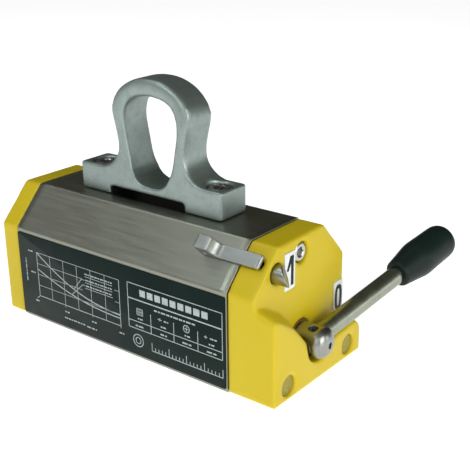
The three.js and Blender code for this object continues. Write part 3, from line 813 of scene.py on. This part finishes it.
# ------------------------------------------------------------------ socket screws
def socket_screw(name, node, head_at, axis, head_r, head_h, af, shank_r, shank_l, mat, knurl=0.12):
    """head_at is the middle of the head's outer face, axis points out of the head"""
    ap = af / 2
    prof = [
        (-head_h - shank_l, 0), (-head_h - shank_l, shank_r - 0.6), (-head_h - shank_l + 0.8, shank_r), (-head_h - 0.2, shank_r),
        (-head_h, shank_r + 0.2), (-head_h, head_r - 0.3), (-head_h + 0.3, head_r), (-0.9, head_r), (-0.75, head_r - 0.1),
        (-0.15, head_r - 0.75), (0, head_r - 1.0), (0, ap * 1.22), (-0.45, ap * 1.0), (-head_h * 0.5, ap * 1.0),
        (-head_h * 0.62, 0),
    ]
    n = len(prof)

    def rad(k, a, r):
        if k in (n - 3, n - 2):
            q = (a % (math.pi / 3)) - math.pi / 6
            return r / math.cos(q)
        if k in (6, 7):
            return r + knurl * (0.5 - 0.5 * math.cos(a * 48)) - knurl
        return r

    o = lathe(name, prof, head_at, axis, 192, 28, rad)
    bm_fix(o)
    o.data.set_sharp_from_angle(angle=math.radians(28))
    set_mat(o, mat)
    stand_for(o, node)
    return o


for node in ("shackle_screw_plain", "shackle_screw_lever"):
    a, b = (v * 1000 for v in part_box(node))
    cx, cy = (a.x + b.x) / 2, (a.y + b.y) / 2
    socket_screw(node + "_m10", node, (cx, cy, b.z), (0, 0, 1), 8.0, 9.4, 8.0, 5.0, 23.8, MAT["screw_steel"])
a, b = (v * 1000 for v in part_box("lever_cap_screw_top"))
socket_screw("lever_cap_screw_top_m8", "lever_cap_screw_top", (b.x, (a.y + b.y) / 2, (a.z + b.z) / 2), (1, 0, 0), 6.3, 8.0, 6.0,
             4.0, b.x - a.x - 8, MAT["screw_steel"])
for node in ("plain_cap_screw_top", "plain_cap_screw_front", "plain_cap_screw_rear"):
    a, b = (v * 1000 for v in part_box(node))
    socket_screw(node + "_m8", node, (a.x, (a.y + b.y) / 2, (a.z + b.z) / 2), (-1, 0, 0), 6.3, 8.0, 6.0, 4.0, b.x - a.x - 8,
                 MAT["screw_steel"])

# ------------------------------------------------------------------ hole plugs
for node in ("hole_plug_front", "hole_plug_rear"):
    a, b = (v * 1000 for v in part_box(node))
    cy, cz, r = (a.y + b.y) / 2, (a.z + b.z) / 2, (b.z - a.z) / 2
    o = lathe(node + "_cap", [(a.x, 0), (a.x, r - 0.4), (a.x + 0.5, r), (b.x - 0.5, r), (b.x - 0.15, r - 0.15), (b.x, r - 0.5),
                              (b.x - 0.1, r - 0.9), (b.x - 0.35, r - 1.3), (b.x - 0.3, r * 0.5), (b.x - 0.25, 0)],
              (0, cy, cz), (1, 0, 0), 72, 40)
    set_mat(o, MAT["plug"])
    stand_for(o, node)

# ------------------------------------------------------------------ position plates with digits
for node, digit in (("position_plate_on", "1"), ("position_plate_off", "0")):
    a, b = (v * 1000 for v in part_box(node))
    o = rounded_plate(node + "_sheet", "x+", a.y, b.y, a.z, b.z, a.x, b.x, 0.7, 0.15, MAT["white_plate"])
    stand_for(o, node)
    cy, cz = (a.y + b.y) / 2, (a.z + b.z) / 2
    hh = (b.z - a.z) / 2 - 2.4
    if digit == "1":
        s0, s1 = cy + 0.9, cy + 3.7
        q = [rect(s0, s1, cz - hh, cz + hh),
             [(cy - 3.6, cz + hh * 0.08), (cy - 1.7, cz + hh * 0.02), (s0, cz + hh * 0.50), (s0, cz + hh), (s0 - 0.9, cz + hh)]]
    else:
        q = []
        ro, ri = 4.3, 1.5
        n = 40
        outp, inp = [], []
        for i in range(n + 1):
            t = 2 * math.pi * i / n
            su = math.copysign(abs(math.cos(t)) ** 0.75, math.cos(t))
            sv = math.copysign(abs(math.sin(t)) ** 0.75, math.sin(t))
            outp.append((cy + ro * su, cz - 0.4 + (hh + 0.1) * sv))
            inp.append((cy + ri * su, cz - 0.4 + (hh - 2.6) * sv))
        for i in range(n):
            q.append([outp[i], outp[i + 1], inp[i + 1], inp[i]])
    strips(node + "_digit", q, "x+", b.x, 0.08, DIGIT, "housing")

# ------------------------------------------------------------------ lever
AX = Vector((124.4, 0, 26.2))
ARM_S0, GRIP_S0, GRIP_S1, ARM_S1, ARM_R = -8.6, 86.3, 142.0, 122.0, 6.35

arm = lathe("lever_arm_bar", [
    (ARM_S0 + 2.4, 0), (ARM_S0 + 1.6, 1.6), (ARM_S0 + 0.9, 3.4), (ARM_S0 + 0.1, 3.6), (ARM_S0, 3.8), (ARM_S0, ARM_R - 1.3),
    (ARM_S0 + 0.15, ARM_R - 1.0), (ARM_S0 + 1.0, ARM_R)]
    + [(s, ARM_R) for s in np.linspace(2, GRIP_S0 - 3.2, 14)]
    + [(GRIP_S0 - 2.8, ARM_R), (GRIP_S0 - 2.6, ARM_R - 0.08), (GRIP_S0 - 1.7, ARM_R - 0.95), (GRIP_S0 - 1.55, 5.1), (ARM_S1 - 1, 5.1),
       (ARM_S1, 4.4), (ARM_S1, 0)], AX, ARM_DIR, 96, 30)
set_mat(arm, ARM_MAT)
stand_for(arm, "lever_arm")

grip_prof = [(0.0, 5.4), (0.0, 8.3), (0.12, 8.7), (0.45, 9.1), (0.9, 9.35), (1.5, 9.5), (3, 9.76), (4.9, 10.1), (8.6, 10.7),
             (12.3, 11.36), (15.9, 12.0), (18.7, 12.5), (20.3, 12.73), (21.8, 12.87), (23.4, 12.94), (25.2, 12.93), (28, 12.83), (31.5, 12.72),
             (36, 12.6), (40.7, 12.5), (44.5, 12.43), (47.1, 12.33), (48.6, 12.17), (49.9, 11.9), (51.1, 11.5), (52.3, 10.9),
             (53.3, 10.15), (54.1, 9.2), (54.75, 7.9), (55.2, 6.2), (55.45, 4.3), (55.62, 2.2), (55.7, 0)]
# the lathe runs through the stations as listed, after a bore for the arm
gs = np.array([p[0] for p in grip_prof[1:]])
gr = np.array([p[1] for p in grip_prof[1:]])
prof = [(GRIP_S0 + 36, 0), (GRIP_S0 + 36, 5.35)] + [(GRIP_S0 + 0.3, 5.35), (GRIP_S0, 5.7)] + [(GRIP_S0 + s, r) for s, r in zip(gs, gr)]
grip = lathe("lever_grip_knob", prof, AX, ARM_DIR, 128, 50)
bm_fix(grip)
set_mat(grip, MAT["grip_plastic"])
stand_for(grip, "lever_grip")

hub = soften("lever_hub_turned", "lever_hub", 0.42, 5)
set_mat(hub, MAT["turned_steel"])
stand_for(hub, "lever_hub")

# ------------------------------------------------------------------ latch
bolt = soften("latch_bolt_pin", "latch_bolt", 0.40, 4)
set_mat(bolt, MAT["turned_steel"])
stand_for(bolt, "latch_bolt")
slide = soften("thumb_slide_bar", "thumb_slide", 0.36, 9)
set_mat(slide, MAT["slide_steel"])
stand_for(slide, "thumb_slide")


def coil(name, cx0, cx1, cy, cz, radius, wire, turns, per=28, seg=12):
    """A round wire wound about a line along X, with rounded ends (millimetres)."""
    n = int(turns * per)
    verts, faces = [], []
    pitch = (cx1 - cx0) / (turns * 2 * math.pi)
    for i in range(n + 1):
        t = i / per * 2 * math.pi
        c = Vector((cx0 + (cx1 - cx0) * i / n, cy + radius * math.cos(t), cz + radius * math.sin(t)))
        out = Vector((0, math.cos(t), math.sin(t)))
        run = Vector((pitch, -radius * math.sin(t), radius * math.cos(t))).normalized()
        side = run.cross(out)
        r = wire * (0.82 if i in (0, n) else 1.0)
        for k in range(seg):
            a = 2 * math.pi * k / seg
            verts.append((c + out * (r * math.cos(a)) + side * (r * math.sin(a))) * 0.001)
    for i in range(n):
        for k in range(seg):
            k2 = (k + 1) % seg
            faces.append((i * seg + k, i * seg + k2, (i + 1) * seg + k2, (i + 1) * seg + k))
    faces.append(tuple(range(seg))[::-1])
    faces.append(tuple(n * seg + k for k in range(seg)))
    return mesh_obj(name, verts, faces, 50)


spring = coil("latch_return_spring", 46.1, 70.9, -26.25, 77.95, 4.55, 0.6, 6)
bm_fix(spring)
set_mat(spring, MAT["spring_steel"])
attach(spring, "housing")
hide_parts("latch_spring")
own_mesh(spring)


# ------------------------------------------------------------------ floor and light
def floor():
    me = bpy.data.meshes.new("floor")
    s = 12
    me.from_pydata([(-s, -s, -0.0004), (s, -s, -0.0004), (s, s, -0.0004), (-s, s, -0.0004)], [], [(0, 1, 2, 3)])
    o = bpy.data.objects.new("floor", me)
    scene.collection.objects.link(o)
    m = M("floor", 0.0, 0.8, (0.86, 0.86, 0.86))
    m.b.inputs["Specular IOR Level"].default_value = 0.0
    m.color(m.ramp(m.noise(2, 2), [(0.3, (0.80, 0.80, 0.80)), (0.7, (0.84, 0.84, 0.84))]))
    # a lit table: the floor gives off a little light of its own
    m.b.inputs["Emission Color"].default_value = (1, 1, 1, 1)
    m.b.inputs["Emission Strength"].default_value = 0.74
    o.data.materials.append(m.mat)


floor()


def area(name, loc, target, size, power, color=(1, 1, 1), size_y=None):
    d = bpy.data.lights.new(name, "AREA")
    d.shape = "RECTANGLE"
    d.size = size
    d.size_y = size_y or size
    d.energy = power
    d.color = color
    o = bpy.data.objects.new(name, d)
    scene.collection.objects.link(o)
    o.location = loc
    o.rotation_euler = (Vector(target) - Vector(loc)).to_track_quat("-Z", "Y").to_euler()
    return o


area("key", (0.45, -1.7, 1.05), (0.0, 0, 0.05), 1.2, 6.5, (1.0, 0.99, 0.96))
area("side", (1.9, -0.35, 0.75), (0.05, 0, 0.05), 1.1, 17.0, (1.0, 0.995, 0.97))
area("high", (-0.9, -0.2, 1.9), (0, 0, 0.05), 0.9, 6, (0.94, 0.98, 1.0))
area("edge", (-0.55, -1.35, 1.45), (0, 0, 0.12), 0.34, 5.0, (0.86, 0.97, 1.0))
area("back", (1.7, 0.9, 0.35), (0, 0, 0.12), 0.5, 2.5, (0.90, 0.98, 1.0))

world = bpy.data.worlds.new("world")
scene.world = world
world.use_nodes = True
wt = world.node_tree
bg = wt.nodes["Background"]
tc = wt.nodes.new("ShaderNodeTexCoord")
sep = wt.nodes.new("ShaderNodeSeparateXYZ")
wt.links.new(tc.outputs["Generated"], sep.inputs["Vector"])
# brightness falls from the front of the room to the back, and is lowest a little above the rear horizon
rp = wt.nodes.new("ShaderNodeValToRGB")
el = rp.color_ramp.elements
el[0].position, el[0].color = 0.0, (0.42, 0.43, 0.43, 1)
el[1].position, el[1].color = 1.0, (0.035, 0.035, 0.025, 1)
e = el.new(0.45)
e.color = (0.20, 0.205, 0.20, 1)
e = el.new(0.62)
e.color = (0.060, 0.060, 0.048, 1)
mr = wt.nodes.new("ShaderNodeMapRange")
mr.inputs["From Min"].default_value = -1
mr.inputs["From Max"].default_value = 1
wt.links.new(sep.outputs["Y"], mr.inputs["Value"])
wt.links.new(mr.outputs["Result"], rp.inputs["Fac"])
wt.links.new(rp.outputs["Color"], bg.inputs["Color"])
bg.inputs["Strength"].default_value = 1.0

scene.view_settings.view_transform = "Standard"
scene.view_settings.look = "None"
scene.view_settings.exposure = 0.0

# ------------------------------------------------------------------ close
bpy.context.view_layer.update()
